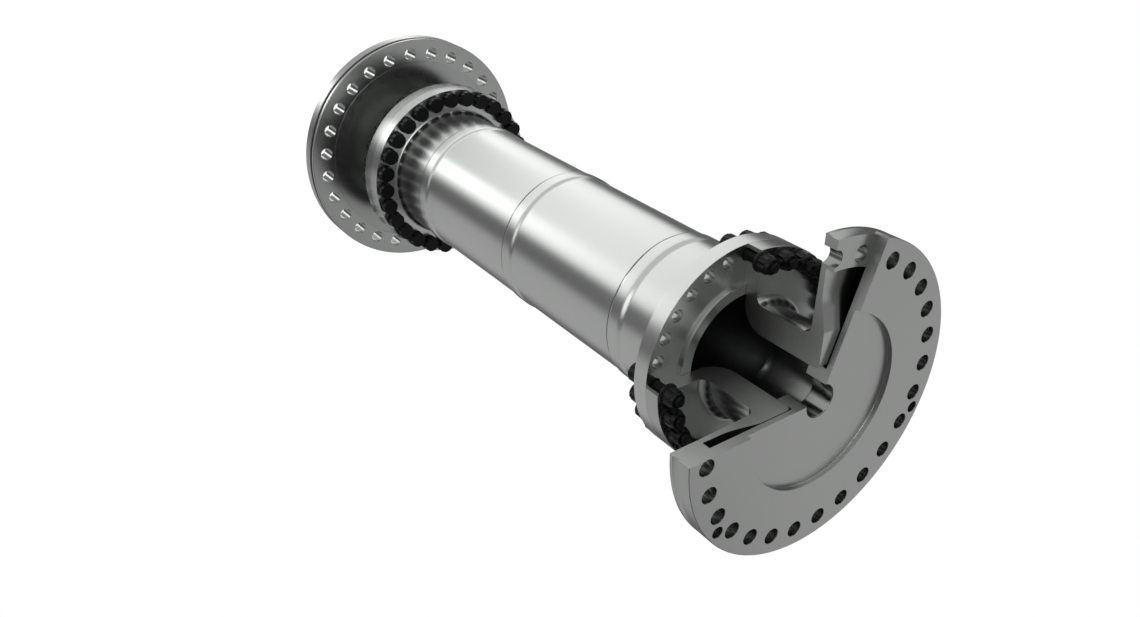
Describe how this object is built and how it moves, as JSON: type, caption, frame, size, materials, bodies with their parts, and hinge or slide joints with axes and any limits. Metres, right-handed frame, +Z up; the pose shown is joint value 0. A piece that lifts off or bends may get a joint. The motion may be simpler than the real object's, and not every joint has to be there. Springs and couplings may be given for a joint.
{
  "type": "diaphragm coupling",
  "caption": "Flexible shaft coupling: a tubular spacer between two thin-web steel diaphragm units and drilled end plates, with a display cutaway at one end.",
  "frame": {"origin": "on the shaft axis at mid-length, the centre of the overall box", "axes": "+X along the shaft axis towards the front end, which carries the cutaway, and +Z up through a bolt hole"},
  "size_m": [0.855, 0.34, 0.34],
  "materials": {
    "plate_steel": "fine turned satin",
    "diaphragm_steel": "fine turned satin",
    "spacer_steel": "bright satin",
    "black_oxide": "black oxide"
  },
  "bodies": {
    "rear_end": {"rear_end_plate": "plate_steel"},
    "spacer": {"front_diaphragm": "diaphragm_steel", "rear_diaphragm": "diaphragm_steel", "spacer_front_flange": "spacer_steel", "spacer_rear_flange": "spacer_steel", "spacer_front_tube": "spacer_steel", "spacer_rear_tube": "spacer_steel", "front_bolt_01": "black_oxide", "front_bolt_02": "black_oxide", "front_bolt_03": "black_oxide", "front_bolt_04": "black_oxide", "front_bolt_05": "black_oxide", "front_bolt_06": "black_oxide", "front_bolt_07": "black_oxide", "front_bolt_08": "black_oxide", "front_bolt_09": "black_oxide", "front_bolt_10": "black_oxide", "front_bolt_11": "black_oxide", "front_bolt_12": "black_oxide", "front_bolt_13": "black_oxide", "front_bolt_14": "black_oxide", "front_bolt_15": "black_oxide", "front_bolt_16": "black_oxide", "front_bolt_17": "black_oxide", "front_bolt_18": "black_oxide", "front_bolt_19": "black_oxide", "front_bolt_20": "black_oxide", "front_bolt_21": "black_oxide", "front_bolt_22": "black_oxide", "front_nut_01": "black_oxide", "front_nut_02": "black_oxide", "front_nut_03": "black_oxide", "front_nut_04": "black_oxide", "front_nut_05": "black_oxide", "front_nut_06": "black_oxide", "front_nut_07": "black_oxide", "front_nut_08": "black_oxide", "front_nut_09": "black_oxide", "front_nut_10": "black_oxide", "front_nut_11": "black_oxide", "front_nut_12": "black_oxide", "front_nut_13": "black_oxide", "front_nut_14": "black_oxide", "front_nut_15": "black_oxide", "front_nut_16": "black_oxide", "front_nut_17": "black_oxide", "front_nut_18": "black_oxide", "front_nut_19": "black_oxide", "front_nut_20": "black_oxide", "front_nut_21": "black_oxide", "front_nut_22": "black_oxide", "rear_bolts": "black_oxide", "rear_nuts": "black_oxide"},
    "front_end": {"front_end_plate": "plate_steel"}
  },
  "joints": [
    {"name": "rear_flex", "type": "hinge", "parent": "rear_end", "child": "spacer", "pos_m": [-0.4035, 0, 0], "axis": [0, 0, 1], "range_deg": [-0.25, 0.25], "stiffness_Nm_per_rad": 12000, "deforming": ["rear_diaphragm"]},
    {"name": "front_flex", "type": "hinge", "parent": "spacer", "child": "front_end", "pos_m": [0.4035, 0, 0], "axis": [0, 0, 1], "range_deg": [-0.25, 0.25], "stiffness_Nm_per_rad": 12000, "deforming": ["front_diaphragm"]}
  ]
}
